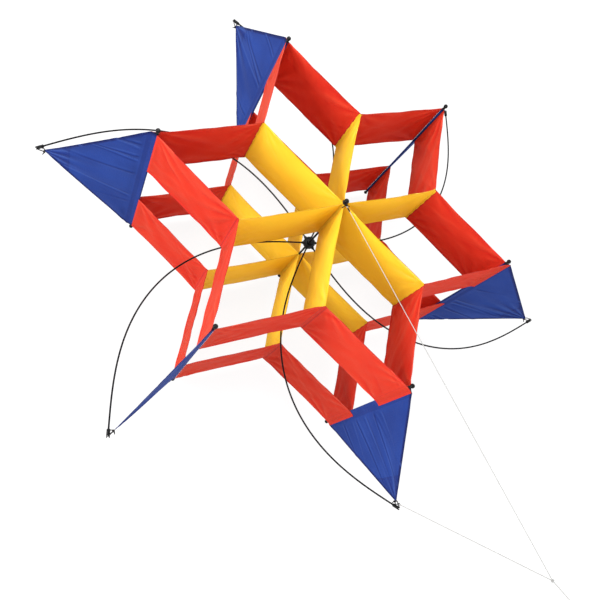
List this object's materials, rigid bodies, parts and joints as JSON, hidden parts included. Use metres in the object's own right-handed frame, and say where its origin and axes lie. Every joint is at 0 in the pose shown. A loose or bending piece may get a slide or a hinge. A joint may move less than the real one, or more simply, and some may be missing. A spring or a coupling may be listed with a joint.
{
  "type": "box kite",
  "caption": "Star-shaped cellular kite: bands of cloth on parallel spars round a spine, triangular wings at the tips, bowed rods from a sliding hub, and a bridle with its flying line.",
  "frame": {"origin": "on the spine's axis, in the plane that the flat feet of the rear caps stand on", "axes": "+Z along the spine towards the front of the kite, -Y towards the bottom tip, which carries the bridle, and +X to the right seen from the front with the bottom tip down"},
  "size_m": [0.9044, 1.2015, 0.5645],
  "materials": {
    "red_ripstop": "satin red ripstop sailcloth with folded and stitched hems",
    "yellow_ripstop": "satin yellow ripstop sailcloth with folded and stitched hems",
    "blue_ripstop": "satin royal blue ripstop sailcloth with folded and stitched hems",
    "black_rod": "black pultruded glass-fibre rod",
    "black_vinyl": "soft black moulded vinyl",
    "black_plastic": "black moulded nylon",
    "black_cord": "black braided cord",
    "white_line": "white braided flying line"
  },
  "bodies": {
    "airframe": {"spine": "black_rod", "spine_front_cap": "black_vinyl", "spine_rear_cap": "black_vinyl", "tip_spar_bottom": "black_rod", "tip_spar_lower_right": "black_rod", "tip_spar_upper_right": "black_rod", "tip_spar_top": "black_rod", "tip_spar_upper_left": "black_rod", "tip_spar_lower_left": "black_rod", "front_cap_bottom": "black_vinyl", "front_cap_lower_right": "black_vinyl", "front_cap_upper_right": "black_vinyl", "front_cap_top": "black_vinyl", "front_cap_upper_left": "black_vinyl", "front_cap_lower_left": "black_vinyl", "rear_cap_bottom": "black_vinyl", "rear_cap_lower_right": "black_vinyl", "rear_cap_upper_right": "black_vinyl", "rear_cap_top": "black_vinyl", "rear_cap_upper_left": "black_vinyl", "rear_cap_lower_left": "black_vinyl", "front_star_band": "red_ripstop", "rear_star_band": "red_ripstop", "front_spoke_web": "yellow_ripstop", "rear_spoke_web": "yellow_ripstop", "wing_bottom": "blue_ripstop", "wing_lower_right": "blue_ripstop", "wing_upper_right": "blue_ripstop", "wing_top": "blue_ripstop", "wing_upper_left": "blue_ripstop", "wing_lower_left": "blue_ripstop", "corner_loop_bottom": "black_cord", "corner_loop_lower_right": "black_cord", "corner_loop_upper_right": "black_cord", "corner_loop_top": "black_cord", "corner_loop_upper_left": "black_cord", "corner_loop_lower_left": "black_cord", "bridle_front_tie": "black_cord", "bridle_bottom_tie": "black_cord"},
    "hub": {"hub": "black_plastic"},
    "bow_bottom": {"bow_rod_bottom": "black_rod", "bow_end_bottom": "black_plastic"},
    "bow_lower_right": {"bow_rod_lower_right": "black_rod", "bow_end_lower_right": "black_plastic"},
    "bow_upper_right": {"bow_rod_upper_right": "black_rod", "bow_end_upper_right": "black_plastic"},
    "bow_top": {"bow_rod_top": "black_rod", "bow_end_top": "black_plastic"},
    "bow_upper_left": {"bow_rod_upper_left": "black_rod", "bow_end_upper_left": "black_plastic"},
    "bow_lower_left": {"bow_rod_lower_left": "black_rod", "bow_end_lower_left": "black_plastic"},
    "bridle": {"bridle_upper_leg": "white_line", "bridle_lower_leg": "white_line", "tow_knot": "white_line"},
    "flying_line": {"flying_line": "white_line", "flying_line_loop": "white_line"}
  },
  "joints": [
    {"name": "hub_slide", "type": "slide", "parent": "airframe", "child": "hub", "axis": [0, 0, 1], "range_m": [-0.02, 0.02]},
    {"name": "bow_tilt_bottom", "type": "hinge", "parent": "hub", "child": "bow_bottom", "pos_m": [-0.00568, -0.00619, 0.1823], "axis": [0.9999, 0.0111, 0], "range_deg": [-2.3, 2.3]},
    {"name": "bow_tilt_lower_right", "type": "hinge", "parent": "hub", "child": "bow_lower_right", "pos_m": [0.00253, -0.00801, 0.1823], "axis": [0.4904, 0.8715, 0], "range_deg": [-2.3, 2.3]},
    {"name": "bow_tilt_upper_right", "type": "hinge", "parent": "hub", "child": "bow_upper_right", "pos_m": [0.0082, -0.00182, 0.1823], "axis": [-0.5096, 0.8604, 0], "range_deg": [-2.3, 2.3]},
    {"name": "bow_tilt_top", "type": "hinge", "parent": "hub", "child": "bow_top", "pos_m": [0.00568, 0.00619, 0.1823], "axis": [-0.9999, -0.0111, 0], "range_deg": [-2.3, 2.3]},
    {"name": "bow_tilt_upper_left", "type": "hinge", "parent": "hub", "child": "bow_upper_left", "pos_m": [-0.00253, 0.00801, 0.1823], "axis": [-0.4904, -0.8715, 0], "range_deg": [-2.3, 2.3]},
    {"name": "bow_tilt_lower_left", "type": "hinge", "parent": "hub", "child": "bow_lower_left", "pos_m": [-0.0082, 0.00182, 0.1823], "axis": [0.5096, -0.8604, 0], "range_deg": [-2.3, 2.3]},
    {"name": "bridle_swing", "type": "hinge", "parent": "airframe", "child": "bridle", "pos_m": [0, -0.00786, 0.35647], "axis": [0, 0.9501, 0.312], "range_deg": [-40, 40]},
    {"name": "line_swing", "type": "hinge", "parent": "bridle", "child": "flying_line", "pos_m": [0, -0.6257, 0.5205], "axis": [1, 0, 0], "range_deg": [-60, 60]}
  ],
  "couplings": [
    {"joint": "bow_tilt_bottom", "follows": "hub_slide", "rad_per_m": 1.9537},
    {"joint": "bow_tilt_lower_right", "follows": "hub_slide", "rad_per_m": 1.9537},
    {"joint": "bow_tilt_upper_right", "follows": "hub_slide", "rad_per_m": 1.9537},
    {"joint": "bow_tilt_top", "follows": "hub_slide", "rad_per_m": 1.9537},
    {"joint": "bow_tilt_upper_left", "follows": "hub_slide", "rad_per_m": 1.9537},
    {"joint": "bow_tilt_lower_left", "follows": "hub_slide", "rad_per_m": 1.9537}
  ]
}
